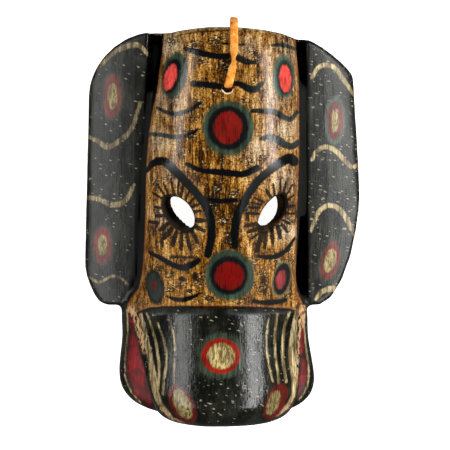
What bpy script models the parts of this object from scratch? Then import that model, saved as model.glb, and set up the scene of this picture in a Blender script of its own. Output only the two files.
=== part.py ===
"""A carved wooden animal mask with two long hanging ears, lying face up on its back rim, with the
leather lace that it hangs by. Metres; +Z points out of the face, +Y to the top of the head, +X to
the ear on the viewer's right. The origin is on the floor, in the middle of the mask."""

import math
from collections import namedtuple

import bmesh
import bpy
from mathutils import Vector

# ---------------------------------------------------------------- overall sizes
TOP_Y = 0.1492
CHIN_Y = -0.1466
RIM_X = 0.1050
FLOOR_Z = 0.0
MIDDLE_Y = 0.0051  # middle of the length from the end of the muzzle to the top of the lace

# ---------------------------------------------------------------- the head
# Sections up the head: height, half width, sideways shift, top of the side wall, middle of the
# front, and how square the rounded front is (2 for an ellipse, more for a flatter middle).
Section = namedtuple("Section", "y half_width centre side_z crown_z square")
HEAD = (
    Section(-0.1415, 0.0739, -0.0015, 0.036, 0.056, 2.0),  # chin
    Section(-0.1090, 0.0738, -0.0042, 0.038, 0.066, 2.0),  # jaw
    Section(-0.0800, 0.0702, -0.0052, 0.040, 0.076, 2.1),  # jowls
    Section(-0.0600, 0.0695, -0.0055, 0.043, 0.085, 2.3),  # flare of the cheeks
    Section(-0.0420, 0.0590, -0.0032, 0.046, 0.086, 2.6),  # nose
    Section(-0.0150, 0.0586, -0.0014, 0.046, 0.082, 2.7),  # cheeks
    Section(0.0120, 0.0588, 0.0002, 0.046, 0.079, 2.7),  # eyes
    Section(0.0450, 0.0580, 0.0010, 0.047, 0.084, 2.4),  # brow
    Section(0.0680, 0.0577, 0.0014, 0.046, 0.0865, 2.2),  # foot of the forehead
    Section(0.0970, 0.0565, 0.0034, 0.044, 0.086, 2.25),  # forehead
    Section(0.1260, 0.0520, 0.0050, 0.040, 0.080, 2.3),
    Section(0.1492, 0.0500, 0.0053, 0.036, 0.071, 2.3),  # top
)
JAW_CORNER_Y = -0.110
JAW_CORNER_POWER = 2.7
JAW_BOTTOM_Y = -0.1435
TOP_BOW = 0.0053
TOP_LEAN = 0.0013
HEAD_TOP_ROLL = 0.007
HEAD_CHIN_ROLL = 0.009
SOCKET_DEPTH = 0.0075
SOCKET_REACH = (0.018, 0.021)
SOCKETS = ((-0.036, 0.008), (0.041, 0.008))
HEAD_GRID = (38, 46)

# ---------------------------------------------------------------- the muzzle
# Its front is one rounded form, wider than the muzzle, that the side walls cut off.
MUZZLE = (
    Section(-0.1466, 0.0488, 0.0014, 0.059, 0.1100, 1.65),  # end
    Section(-0.1180, 0.0552, 0.0013, 0.0555, 0.1065, 1.65),
    Section(-0.0920, 0.0585, -0.0016, 0.049, 0.1000, 1.65),
    Section(-0.0590, 0.0622, -0.0026, 0.041, 0.0920, 1.65),  # step below the nose
)
MUZZLE_FORM_X = -0.0040
MUZZLE_FORM_HALF_WIDTH = 0.068
MUZZLE_BASE_Z = 0.030
MUZZLE_TOP_Y = -0.0590
MUZZLE_TOP_SAG = 0.0035
MUZZLE_CORNER_Y = -0.1280
MUZZLE_CORNER_POWER = 3.2
MUZZLE_TOP_ROLL = 0.0022
MUZZLE_END_ROLL = 0.025
MUZZLE_GRID = (28, 18)

# ---------------------------------------------------------------- the ears
# Distances from the middle line for the edge at the groove and for the outer rim, then heights
# and how square the two outer corners are. Low down, the edge at the groove swings out round the
# flare of the cheek.
Ear = namedtuple(
    "Ear",
    "side lip_top lip_bottom lip_swing rim_top rim_bottom "
    "top shoulder top_square haunch bottom flat bottom_square",
)
EARS = (
    Ear(
        *(-1, 0.0548, 0.0655, 0.0095, 0.1002, RIM_X),
        *(0.1467, 0.102, 1.8, -0.027, -0.0589, 0.40, 1.8),
    ),
    Ear(
        *(1, 0.0630, 0.0645, 0.0000, 0.0982, 0.1097),
        *(0.1418, 0.114, 1.27, 0.0343, -0.0588, 0.21, 1.62),
    ),
)
EAR_SWING_Y = -0.038
EAR_LIP_Z = 0.050
EAR_RIM_Z = 0.037
EAR_BACK_LIP_Z = 0.020
EAR_BACK_RIM_Z = 0.015
EAR_CROWN = 0.0015
EAR_ROLL = 0.0035
LIP_ROLL = 0.0012
GROOVE_FLOOR_Z = 0.030
GROOVE_END_Z = 0.044
GROOVE_END_LENGTH = 0.009
# The columns of an ear's grid, as shares of the way from the groove to the outer rim: the root
# inside the head, the foot and the top of the groove's wall, then across the ear.
EAR_COLUMNS = (-0.40, -0.008, 0.0, 0.02, 0.06, 0.2, 0.4, 0.6, 0.76, 0.88, 0.95, 0.985, 1.0)
EAR_ROOT_COLUMNS = 2
EAR_ROWS = 24

# ---------------------------------------------------------------- hollow, eyes, holes
HOLLOW = (
    Section(-0.1270, 0.0575, -0.0045, 0.0, 0.066, 2.8),
    Section(-0.0980, 0.0585, -0.0045, 0.0, 0.087, 2.6),
    Section(-0.0600, 0.0545, -0.0045, 0.0, 0.077, 2.6),
    Section(-0.0400, 0.0450, -0.0028, 0.0, 0.072, 2.8),
    Section(0.0120, 0.0445, 0.0002, 0.0, 0.063, 2.8),
    Section(0.0450, 0.0440, 0.0010, 0.0, 0.070, 2.7),
    Section(0.0900, 0.0430, 0.0030, 0.0, 0.076, 2.4),
    Section(0.1340, 0.0370, 0.0050, 0.0, 0.064, 2.4),
)
HOLLOW_END_POWER = 6.0
HOLLOW_BASE_Z = -0.010
HOLLOW_GRID = (22, 26)

# An eye hole tapers inwards from a leaf on the front to a smaller leaf where it meets the hollow.
# A leaf is its outer corner, its inner corner, and how far its upper and lower edges bulge.
Leaf = namedtuple("Leaf", "outer inner upper lower")
EYES = {
    "left": (
        Leaf((-0.0440, 0.0230), (-0.0216, -0.0036), 0.0105, 0.0100),
        Leaf((-0.0388, 0.0224), (-0.0214, 0.0008), 0.0075, 0.0041),
    ),
    "right": (
        Leaf((0.0476, 0.0254), (0.0272, -0.0050), 0.0073, 0.0088),
        Leaf((0.0401, 0.0232), (0.0271, 0.0021), 0.0045, 0.0068),
    ),
}
LEAF_FULLNESS = 0.55  # below 1, the ends of a leaf are blunter
LEAF_STEPS = 10
EYE_CUT = (0.030, 0.095)
EYE_LIP = 0.0006  # straight wall where the hole meets the hollow
EYE_FLARE = 1.2

LACE_HOLE = (0.0043, 0.1022)
LACE_HOLE_RADIUS = 0.0038
LACE_HOLE_CUT = (0.050, 0.120)
LACE_HOLE_SIDES = 20
RIM_ARCH_X = 0.0070
RIM_ARCH_HALF_WIDTH = 0.028
RIM_ARCH_HEIGHT = 0.0070
RIM_ARCH_LENGTH = 0.060
RIM_ARCH_SIDES = 96

# ---------------------------------------------------------------- the lace
# A flat leather lace, from its knot out through the hole, over the top of the head, under the arch
# in the rim and back to the knot. Each point of its middle line has its own twist in degrees.
LACE_WIDTH = 0.0058
LACE_THICKNESS = 0.0019
FLAT_ON = 90.0  # the tilt that lays the lace flat against the wood
LacePoint = namedtuple("LacePoint", "x y z twist")
LACE_ROUTE = (
    LacePoint(0.0043, 0.1022, 0.0620, 0),
    LacePoint(0.0043, 0.1022, 0.0760, 0),
    LacePoint(0.0043, 0.1024, 0.0848, 0),
    LacePoint(0.0044, 0.1040, 0.0888, 0),
    LacePoint(0.0051, 0.1075, 0.0897, 8),
    LacePoint(0.0064, 0.1133, 0.0882, 30),
    LacePoint(0.0080, 0.1205, 0.0858, 50),
    LacePoint(0.0088, 0.1290, 0.0825, 50),
    LacePoint(0.0090, 0.1385, 0.0782, 20),
    LacePoint(0.0090, 0.1475, 0.0725, 4),
    LacePoint(0.0090, 0.1533, 0.0650, 0),
    LacePoint(0.0090, 0.1555, 0.0560, 0),
    LacePoint(0.0090, 0.1548, 0.0440, 0),
    LacePoint(0.0088, 0.1530, 0.0300, 0),
    LacePoint(0.0085, 0.1523, 0.0160, 0),
    LacePoint(0.0082, 0.1524, 0.0080, 0),
    LacePoint(0.0080, 0.1496, 0.0036, 0),
    LacePoint(0.0077, 0.1410, 0.0031, 0),
    LacePoint(0.0073, 0.1315, 0.0040, 0),
    LacePoint(0.0068, 0.1250, 0.0130, 0),
    LacePoint(0.0060, 0.1180, 0.0310, 0),
    LacePoint(0.0052, 0.1112, 0.0480, 0),
    LacePoint(0.0044, 0.1050, 0.0585, 0),
)
LACE_STEP = 0.005
KNOT_SIZE = (0.0125, 0.0100, 0.0085)
KNOT_Z = 0.0610
KNOT_SIDES = (16, 10)
TAILS = (
    ((0.0033, 0.1012, 0.0600), (-0.0010, 0.0972, 0.0520), (-0.0030, 0.0947, 0.0430)),
    ((0.0053, 0.1017, 0.0600), (0.0105, 0.0997, 0.0530), (0.0125, 0.0982, 0.0450)),
)

# ---------------------------------------------------------------- finish
WOOD_COLOUR = (0.42, 0.27, 0.13)
WOOD_ROUGHNESS = 0.35
LEATHER_COLOUR = (0.52, 0.22, 0.06)
LEATHER_ROUGHNESS = 0.85
SHARP_EDGE = math.radians(38)
WELD_DISTANCE = 0.00001


def remove_everything():
    for obj in list(bpy.data.objects):
        bpy.data.objects.remove(obj)


def collection(name, hidden=False):
    made = bpy.data.collections.new(name)
    made.hide_render = hidden
    bpy.context.scene.collection.children.link(made)
    return made


def material(name, colour, roughness, metallic=0.0):
    made = bpy.data.materials.new(name)
    made.use_nodes = True
    shader = made.node_tree.nodes["Principled BSDF"]
    shader.inputs["Base Color"].default_value = (*colour, 1.0)
    shader.inputs["Roughness"].default_value = roughness
    shader.inputs["Metallic"].default_value = metallic
    return made


def mix(a, b, share):
    return a + (b - a) * share


def section_at(sections, y):
    """The section at height y, on a smooth curve through the given ones."""
    last = len(sections) - 1
    i = 0
    while i < last - 1 and y > sections[i + 1].y:
        i += 1
    low, high = sections[i], sections[i + 1]
    before, after = sections[max(i - 1, 0)], sections[min(i + 2, last)]
    gap = high.y - low.y
    t = min(max((y - low.y) / gap, 0.0), 1.0)
    values = [y]
    for a, p, q, b in zip(before[1:], low[1:], high[1:], after[1:]):
        leave = gap * (q - a) / (high.y - before.y)
        arrive = gap * (b - p) / (after.y - low.y)
        values.append(
            (2 * t**3 - 3 * t**2 + 1) * p
            + (t**3 - 2 * t**2 + t) * leave
            + (3 * t**2 - 2 * t**3) * q
            + (t**3 - t**2) * arrive
        )
    return Section(*values)


def smooth(t):
    """An eased step from 0 to 1."""
    t = min(max(t, 0.0), 1.0)
    return t * t * (3 - 2 * t)


def arch(u, power):
    """Height of a rounded arch of height 1, from 1 in the middle to 0 at u = -1 and 1."""
    return max(0.0, 1.0 - abs(u) ** power) ** (1.0 / power)


def roll(distance, radius):
    """How far a rounded edge drops, this far in from the edge."""
    short = min(max(radius - distance, 0.0), radius)
    return radius - math.sqrt(radius**2 - short**2)


def to_the_edges(u):
    """Spreads -1 to 1 so that points crowd towards both ends."""
    return math.sin(u * math.pi / 2)


def new_object(name, mesh_data, where):
    obj = bpy.data.objects.new(name, mesh_data)
    where.objects.link(obj)
    return obj


def object_from(bm, name, where):
    bmesh.ops.recalc_face_normals(bm, faces=bm.faces)
    mesh = bpy.data.meshes.new(name)
    bm.to_mesh(mesh)
    bm.free()
    mesh.shade_smooth()
    mesh.set_sharp_from_angle(angle=SHARP_EDGE)
    return new_object(name, mesh, where)


def carved_form(name, across, along, place, base, where):
    """A solid with a shaped front and a flat back. Its front is a grid of points that place(u, v)
    sets; base(x) is the height of the back, and a wall joins the two round the edge."""
    bm = bmesh.new()
    bmesh.ops.create_grid(bm, x_segments=across, y_segments=along, size=1.0)
    for vertex in bm.verts:
        vertex.co = place(vertex.co.x, vertex.co.y)
    rim = [edge for edge in bm.edges if edge.is_boundary]
    wall = bmesh.ops.extrude_edge_only(bm, edges=rim)["geom"]
    for vertex in (g for g in wall if isinstance(g, bmesh.types.BMVert)):
        vertex.co.z = base(vertex.co.x)
    bmesh.ops.contextual_create(bm, geom=[e for e in bm.edges if e.is_boundary])
    return object_from(bm, name, where)


def head_height(x, y):
    """Height of the front of the head, with the sockets that the eyes lie in."""
    section = section_at(HEAD, y)
    share = arch((x - section.centre) / section.half_width, section.square)
    z = mix(section.side_z, section.crown_z, share)
    for socket_x, socket_y in SOCKETS:
        reach_x, reach_y = SOCKET_REACH
        away = ((x - socket_x) / reach_x) ** 2 + ((y - socket_y) / reach_y) ** 2
        z -= SOCKET_DEPTH * math.exp(-away)
    return z


def head_point(u, v):
    u, v = to_the_edges(u), to_the_edges(v)
    low = JAW_CORNER_Y - (JAW_CORNER_Y - JAW_BOTTOM_Y) * arch(u, JAW_CORNER_POWER)
    high = TOP_Y - TOP_BOW * u * u - TOP_LEAN * u
    y = mix(low, high, (v + 1) / 2)
    section = section_at(HEAD, y)
    x = section.centre + u * section.half_width
    z = head_height(x, y) - roll(high - y, HEAD_TOP_ROLL) - roll(y - low, HEAD_CHIN_ROLL)
    return Vector((x, y, z))


def muzzle_point(u, v):
    u, v = to_the_edges(u), to_the_edges(v)
    bulge = arch(u, MUZZLE_CORNER_POWER)
    low = MUZZLE_CORNER_Y - (MUZZLE_CORNER_Y - CHIN_Y) * bulge
    high = MUZZLE_TOP_Y - MUZZLE_TOP_SAG * u * u
    y = mix(low, high, (v + 1) / 2)
    section = section_at(MUZZLE, y)
    x = section.centre + u * section.half_width
    share = arch((x - MUZZLE_FORM_X) / MUZZLE_FORM_HALF_WIDTH, section.square)
    z = mix(section.side_z, section.crown_z, share)
    z -= roll(high - y, MUZZLE_TOP_ROLL) + roll(y - low, MUZZLE_END_ROLL)
    return Vector((x, y, z))


def ear_back(x):
    share = (abs(x) - EARS[0].lip_bottom) / (RIM_X - EARS[0].lip_bottom)
    return mix(EAR_BACK_LIP_Z, EAR_BACK_RIM_Z, share)


def ear_form(ear, where):
    def place(u, v):
        column = round((u + 1) / 2 * (len(EAR_COLUMNS) - 1))
        share = EAR_COLUMNS[column]
        on_ear = max(share, 0.0)
        past_flat = max(0.0, (on_ear - ear.flat) / (1.0 - ear.flat))
        high = mix(ear.shoulder, ear.top, arch(on_ear, ear.top_square))
        low = mix(ear.haunch, ear.bottom, arch(past_flat, ear.bottom_square))
        y = mix(low, high, (to_the_edges(v) + 1) / 2)
        height = (y - ear.bottom) / (ear.top - ear.bottom)
        swing = smooth((EAR_SWING_Y - y) / (EAR_SWING_Y - ear.bottom))
        lip = mix(ear.lip_bottom, ear.lip_top, height) + ear.lip_swing * swing
        rim = mix(ear.rim_bottom, ear.rim_top, height)
        x = ear.side * mix(lip, rim, share)
        if column < EAR_ROOT_COLUMNS:
            end = smooth((y - high) / GROOVE_END_LENGTH + 1)
            return Vector((x, y, mix(GROOVE_FLOOR_Z, GROOVE_END_Z, end)))
        z = mix(EAR_LIP_Z, EAR_RIM_Z, share) + EAR_CROWN * math.sin(share * math.pi)
        across = rim - lip
        z -= roll(share * across, LIP_ROLL) + roll((1 - share) * across, EAR_ROLL)
        z -= roll(high - y, EAR_ROLL) + roll(y - low, EAR_ROLL)
        return Vector((x, y, z))

    name = "ear_left" if ear.side < 0 else "ear_right"
    return carved_form(name, len(EAR_COLUMNS) - 1, EAR_ROWS, place, ear_back, where)


def hollow_height(x, y):
    section = section_at(HOLLOW, y)
    return section.crown_z * arch((x - section.centre) / section.half_width, section.square)


def hollow_point(u, v):
    u, v = to_the_edges(u), to_the_edges(v)
    y = mix(HOLLOW[0].y, HOLLOW[-1].y, (v + 1) / 2)
    section = section_at(HOLLOW, y)
    half_width = section.half_width * arch(v, HOLLOW_END_POWER)
    z = section.crown_z * arch(u, section.square) * arch(v, HOLLOW_END_POWER)
    return Vector((section.centre + u * half_width, y, z))


def leaf_outline(leaf):
    """Points round a leaf, from its outer corner along the upper edge and back along the lower."""
    outer, inner = Vector(leaf.outer), Vector(leaf.inner)
    along = inner - outer
    up = Vector((-along.y, along.x)).normalized()
    if up.y < 0:
        up = -up
    upper, lower = [], []
    for i in range(LEAF_STEPS):
        t = i / LEAF_STEPS
        bulge = math.sin(t * math.pi) ** LEAF_FULLNESS
        upper.append(outer + along * t + up * leaf.upper * bulge)
        lower.append(inner - along * t - up * leaf.lower * bulge)
    return upper + lower


def eye_cutter(name, front, back, where):
    """A plug that tapers from the front leaf, on the face, to the back leaf, at the hollow, and
    carries on straight below and a little wider above."""
    bottom, top = EYE_CUT
    rings = [[], [], [], []]
    for inner, outer in zip(leaf_outline(back), leaf_outline(front)):
        rings[0].append((*inner, bottom))
        rings[1].append((*inner, hollow_height(*inner) + EYE_LIP))
        rings[2].append((*outer, head_height(*outer)))
        rings[3].append((*inner.lerp(outer, EYE_FLARE), top))
    bm = bmesh.new()
    rings = [[bm.verts.new(point) for point in ring] for ring in rings]
    for lower, upper in zip(rings, rings[1:]):
        for i in range(len(lower)):
            j = (i + 1) % len(lower)
            bm.faces.new((lower[i], lower[j], upper[j]))
            bm.faces.new((lower[i], upper[j], upper[i]))
    bm.faces.new(rings[0])
    bm.faces.new(rings[-1])
    return object_from(bm, name, where)


def cylinder(name, radius, depth, sides, centre, axis, where):
    bm = bmesh.new()
    bmesh.ops.create_cone(
        bm, cap_ends=True, segments=sides, radius1=radius, radius2=radius, depth=depth
    )
    obj = object_from(bm, name, where)
    obj.rotation_euler = Vector((0, 0, 1)).rotation_difference(Vector(axis)).to_euler()
    obj.location = centre
    return obj


def boolean(obj, operation, other):
    modifier = obj.modifiers.new(f"{operation.lower()} {other.name}", "BOOLEAN")
    modifier.operation = operation
    modifier.object = other
    modifier.solver = "EXACT"
    other.hide_render = True
    other.display_type = "WIRE"


def smooth_curve(points, step):
    """Points about a step apart on a smooth curve through the given ones."""
    ends = [points[0], *points, points[-1]]
    curve = []
    for a, b, c, d in zip(ends, ends[1:], ends[2:], ends[3:]):
        count = max(1, round((c - b).xyz.length / step))
        for i in range(count):
            t = i / count
            curve.append(
                b
                + (c - a) * 0.5 * t
                + (a * 2 - b * 5 + c * 4 - d) * 0.5 * t**2
                + (b * 3 - a - c * 3 + d) * 0.5 * t**3
            )
    return [*curve, points[-1]]


def strap(name, points, where):
    """A flat strap along points that hold x, y, z and a twist in degrees, as a closed mesh."""
    data = bpy.data.curves.new(name, "CURVE")
    data.dimensions = "3D"
    data.twist_mode = "MINIMUM"
    data.extrude = (LACE_WIDTH - LACE_THICKNESS) / 2
    data.bevel_depth = LACE_THICKNESS / 2
    data.bevel_resolution = 1
    data.use_fill_caps = True
    spline = data.splines.new("POLY")
    spline.points.add(len(points) - 1)
    for point, (x, y, z, twist) in zip(spline.points, points):
        point.co = (x, y, z, 1.0)
        point.tilt = math.radians(FLAT_ON + twist)
    curve = new_object(f"{name}_curve", data, where)
    evaluated = curve.evaluated_get(bpy.context.evaluated_depsgraph_get())
    mesh = bpy.data.meshes.new_from_object(evaluated)
    bpy.data.objects.remove(curve)
    bm = bmesh.new()
    bm.from_mesh(mesh)
    bmesh.ops.remove_doubles(bm, verts=bm.verts, dist=WELD_DISTANCE)
    bpy.data.meshes.remove(mesh)
    return object_from(bm, name, where)


def build_mask(parts, helpers):
    mask = carved_form("mask", *HEAD_GRID, head_point, lambda x: FLOOR_Z, parts)
    muzzle = carved_form("muzzle", *MUZZLE_GRID, muzzle_point, lambda x: MUZZLE_BASE_Z, helpers)
    boolean(mask, "UNION", muzzle)
    for ear in EARS:
        boolean(mask, "UNION", ear_form(ear, helpers))
    hollow = carved_form("hollow", *HOLLOW_GRID, hollow_point, lambda x: HOLLOW_BASE_Z, helpers)
    boolean(mask, "DIFFERENCE", hollow)
    for side, (front, back) in EYES.items():
        boolean(mask, "DIFFERENCE", eye_cutter(f"eye_{side}", front, back, helpers))
    low, high = LACE_HOLE_CUT
    centre = (*LACE_HOLE, (low + high) / 2)
    size = (LACE_HOLE_RADIUS, high - low, LACE_HOLE_SIDES)
    boolean(mask, "DIFFERENCE", cylinder("lace_hole", *size, centre, (0, 0, 1), helpers))
    radius = (RIM_ARCH_HALF_WIDTH**2 + RIM_ARCH_HEIGHT**2) / (2 * RIM_ARCH_HEIGHT)
    centre = (RIM_ARCH_X, TOP_Y, RIM_ARCH_HEIGHT - radius)
    size = (radius, RIM_ARCH_LENGTH, RIM_ARCH_SIDES)
    boolean(mask, "DIFFERENCE", cylinder("rim_arch", *size, centre, (0, 1, 0), helpers))
    mask.data.materials.append(material("painted_wood", WOOD_COLOUR, WOOD_ROUGHNESS))
    return mask


def build_lace(parts, helpers):
    route = [Vector(point) for point in LACE_ROUTE]
    lace = strap("leather_lace", smooth_curve(route, LACE_STEP), parts)
    bm = bmesh.new()
    around, up = KNOT_SIDES
    bmesh.ops.create_uvsphere(bm, u_segments=around, v_segments=up, radius=0.5)
    bmesh.ops.scale(bm, vec=KNOT_SIZE, verts=bm.verts)
    bmesh.ops.translate(bm, vec=(*LACE_HOLE, KNOT_Z), verts=bm.verts)
    boolean(lace, "UNION", object_from(bm, "knot", helpers))
    for i, tail in enumerate(TAILS):
        points = [Vector((*point, 0.0)) for point in tail]
        boolean(lace, "UNION", strap(f"tail_{i}", smooth_curve(points, LACE_STEP), helpers))
    lace.data.materials.append(material("leather", LEATHER_COLOUR, LEATHER_ROUGHNESS))
    return lace


def main():
    remove_everything()
    parts = collection("folk_art_mask")
    helpers = collection("cutters", hidden=True)
    lying = new_object("lying_on_its_back", None, parts)
    lying.location = (0.0, -MIDDLE_Y, 0.0)
    build_mask(parts, helpers)
    build_lace(parts, helpers)
    for obj in [*parts.objects, *helpers.objects]:
        if obj != lying:
            obj.parent = lying


main()
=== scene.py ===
import math

import bmesh
import bpy
import numpy as np
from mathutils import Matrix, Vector, kdtree, noise
from mathutils.bvhtree import BVHTree


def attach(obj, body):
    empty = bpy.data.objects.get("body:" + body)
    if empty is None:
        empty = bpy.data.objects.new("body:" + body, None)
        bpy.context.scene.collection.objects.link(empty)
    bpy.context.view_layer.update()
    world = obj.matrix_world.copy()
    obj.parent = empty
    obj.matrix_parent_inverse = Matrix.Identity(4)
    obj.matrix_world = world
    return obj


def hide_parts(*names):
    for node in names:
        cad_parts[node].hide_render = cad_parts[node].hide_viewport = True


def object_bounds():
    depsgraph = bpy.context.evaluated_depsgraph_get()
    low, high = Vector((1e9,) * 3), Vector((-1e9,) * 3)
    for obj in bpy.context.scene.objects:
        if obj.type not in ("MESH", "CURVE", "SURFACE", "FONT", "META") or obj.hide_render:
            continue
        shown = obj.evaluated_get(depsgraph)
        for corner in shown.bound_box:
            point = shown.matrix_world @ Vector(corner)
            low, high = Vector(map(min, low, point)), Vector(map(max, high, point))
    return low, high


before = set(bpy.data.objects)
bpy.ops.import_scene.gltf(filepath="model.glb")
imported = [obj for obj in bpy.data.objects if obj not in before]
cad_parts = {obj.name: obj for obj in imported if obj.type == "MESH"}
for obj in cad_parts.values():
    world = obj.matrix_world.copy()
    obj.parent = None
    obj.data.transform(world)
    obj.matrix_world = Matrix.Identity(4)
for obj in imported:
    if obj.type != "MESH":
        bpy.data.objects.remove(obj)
cad_low, cad_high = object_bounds()
middle = (cad_low + cad_high) / 2
mm = 0.001

# ------------------------------------------------------------------ Light table, lamps and camera
# The mask lies on its back rim on a lit table, so the eye holes shine white. A tall soft lamp on
# each side gives the long streaks in the varnish, and the camera looks straight down on the face.
CAMERA_HEIGHT = 1.545
FIELD_WIDTH = 339.3 * mm
FIELD_Z = 45 * mm
SENSOR = 36.0
TABLE_SIZE = 6.0
TABLE_GLOW = 0.93
ROOM_GLOW = 0.11
LAMP_DISTANCE = 1.6
LAMP_LENGTH = 2.6
CAMERA_SHIFT = (2.2 * mm, -3.65 * mm)
TABLE_GAP = 0.2 * mm
OPAL_COLOUR = (0.8, 0.8, 0.8, 1)
OPAL_ROUGHNESS = 0.9

scene = bpy.context.scene
scene.view_settings.view_transform = "Standard"

lens = bpy.data.cameras.new("camera")
lens.sensor_width = SENSOR
lens.lens = SENSOR * (CAMERA_HEIGHT - FIELD_Z) / FIELD_WIDTH
camera = bpy.data.objects.new("camera", lens)
camera.location = (middle.x + CAMERA_SHIFT[0], middle.y + CAMERA_SHIFT[1], CAMERA_HEIGHT)
scene.collection.objects.link(camera)
scene.camera = camera

table_plane = bmesh.new()
bmesh.ops.create_grid(table_plane, x_segments=1, y_segments=1, size=TABLE_SIZE / 2)
table_mesh = bpy.data.meshes.new("light_table")
table_plane.to_mesh(table_mesh)
table_plane.free()
table = bpy.data.objects.new("light_table", table_mesh)
table.location.z = cad_low.z - TABLE_GAP
scene.collection.objects.link(table)
opal = bpy.data.materials.new("opal_glass")
opal.use_nodes = True
opal_shader = opal.node_tree.nodes["Principled BSDF"]
opal_shader.inputs["Base Color"].default_value = OPAL_COLOUR
opal_shader.inputs["Roughness"].default_value = OPAL_ROUGHNESS
opal_shader.inputs["Emission Color"].default_value = (1, 1, 1, 1)
opal_shader.inputs["Emission Strength"].default_value = TABLE_GLOW
table_mesh.materials.append(opal)
table.visible_diffuse = False
table.visible_glossy = False

room = bpy.data.worlds.new("room")
room.use_nodes = True
room.node_tree.nodes["Background"].inputs["Color"].default_value = (1, 1, 1, 1)
room.node_tree.nodes["Background"].inputs["Strength"].default_value = ROOM_GLOW
scene.world = room


def soft_lamp(name, tilt, width, power):
    """A tall soft lamp that faces the mask, tilted this far to the side of straight overhead."""
    data = bpy.data.lights.new(name, "AREA")
    data.shape = "RECTANGLE"
    data.size = LAMP_LENGTH
    data.size_y = width
    data.energy = power
    lamp = bpy.data.objects.new(name, data)
    out = Vector((math.sin(tilt), 0, math.cos(tilt)))
    lamp.location = Vector((0, 0, FIELD_Z)) + out * LAMP_DISTANCE
    lamp.rotation_euler = (-out).to_track_quat("-Z", "Y").to_euler()
    scene.collection.objects.link(lamp)


soft_lamp("right_lamp", math.radians(50.5), 0.29, 47)
soft_lamp("left_lamp", math.radians(-49.5), 0.38, 25.5)

# ------------------------------------------------------------------ The mask: carved wood
# One block of light wood, hollowed behind, with both ears, the muzzle and the grooves carved from
# it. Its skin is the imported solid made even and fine, with the tool's facets sanded away.
SKIN_VOXEL = 2.33 * mm
FRONT_NORMAL = 0.25
FRONT_Z = 30 * mm
SHARP_EDGE = math.radians(28)
SANDING_ROUNDS = 16
SANDING_STROKES = (0.62, -0.65)  # one stroke takes facets off, the next gives the form back
EDGE_ROUNDS = 3
EDGE_STROKE = 0.5
EDGE_KEPT = (1.0 * mm, 4.0 * mm)
EDGE_POINT_GAP = 1.0 * mm


def smooth_step(low, high, value):
    """0 below low, 1 above high, and eased between."""
    t = np.clip((value - low) / (high - low), 0.0, 1.0)
    return t * t * (3 - 2 * t)


def welded(mesh):
    """The mesh with its doubled corners joined, ready to edit."""
    skin = bmesh.new()
    skin.from_mesh(mesh)
    bmesh.ops.remove_doubles(skin, verts=skin.verts, dist=0.01 * mm)
    return skin


def sharp_edge_points(skin, step):
    """Points along the edges where the carving turns sharply."""
    points = []
    for edge in skin.edges:
        if len(edge.link_faces) == 2 and edge.calc_face_angle() > SHARP_EDGE:
            a, b = (vertex.co for vertex in edge.verts)
            count = max(1, math.ceil((b - a).length / step))
            points += [a.lerp(b, i / count) for i in range(count + 1)]
    return points


def even_skin(source, name):
    """A closed skin of even quads over the source, finer on the carved front."""
    block = bpy.data.objects.new(name, source.data.copy())
    scene.collection.objects.link(block)
    remesh = block.modifiers.new("even skin", "REMESH")
    remesh.mode = "VOXEL"
    remesh.voxel_size = SKIN_VOXEL
    seen = block.evaluated_get(bpy.context.evaluated_depsgraph_get())
    skin = bmesh.new()
    skin.from_mesh(seen.to_mesh())
    block.modifiers.remove(remesh)
    front = [
        face
        for face in skin.faces
        if face.normal.z > FRONT_NORMAL and face.calc_center_median().z > FRONT_Z
    ]
    edges = list({edge for face in front for edge in face.edges})
    bmesh.ops.subdivide_edges(skin, edges=edges, cuts=1, use_grid_fill=True)
    skin.to_mesh(block.data)
    skin.free()
    return block


def coordinates(mesh):
    flat = np.empty(len(mesh.vertices) * 3)
    mesh.vertices.foreach_get("co", flat)
    return flat.reshape(-1, 3)


def normals(mesh):
    flat = np.empty(len(mesh.vertices) * 3)
    mesh.vertices.foreach_get("normal", flat)
    return flat.reshape(-1, 3)


def move_points(mesh, points):
    mesh.vertices.foreach_set("co", points.ravel())
    mesh.update()


def neighbour_mean(points, edges):
    """For each point of the skin, the mean of the points it is joined to."""
    total = np.zeros_like(points)
    count = np.zeros(len(points))
    for here, there in ((0, 1), (1, 0)):
        np.add.at(total, edges[:, here], points[edges[:, there]])
        np.add.at(count, edges[:, here], 1)
    return total / count[:, None]


cad_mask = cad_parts["mask"]
mask = even_skin(cad_mask, "carved_mask")
skin = mask.data
cad_skin = welded(cad_mask.data)
cad_tree = BVHTree.FromBMesh(cad_skin)
points = np.array([cad_tree.find_nearest(Vector(point))[0] for point in coordinates(skin)])

edge_points = sharp_edge_points(cad_skin, EDGE_POINT_GAP)
edge_tree = kdtree.KDTree(len(edge_points))
for i, point in enumerate(edge_points):
    edge_tree.insert(point, i)
edge_tree.balance()
to_edge = np.array([edge_tree.find(Vector(point))[2] for point in points])

edges = np.empty(len(skin.edges) * 2, dtype=np.int64)
skin.edges.foreach_get("vertices", edges)
edges = edges.reshape(-1, 2)
sanded = smooth_step(*EDGE_KEPT, to_edge)[:, None]
for turn in range(SANDING_ROUNDS):
    for stroke in SANDING_STROKES:
        points += (neighbour_mean(points, edges) - points) * sanded * stroke
for turn in range(EDGE_ROUNDS):
    points += (neighbour_mean(points, edges) - points) * EDGE_STROKE
move_points(skin, points)

# ---- gouge marks and hand-sanded unevenness
SANDED_WAVE = (17 * mm, 0.22 * mm)
SANDED_RIPPLE = (6 * mm, 0.06 * mm)
GOUGE_SIZE = 9 * mm
GOUGE_DEPTH = 0.55 * mm
GOUGE_MIDDLE = 0.35
GOUGED_ABOVE = (2 * mm, 6 * mm)
SKY_START = 1.5 * mm


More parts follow.
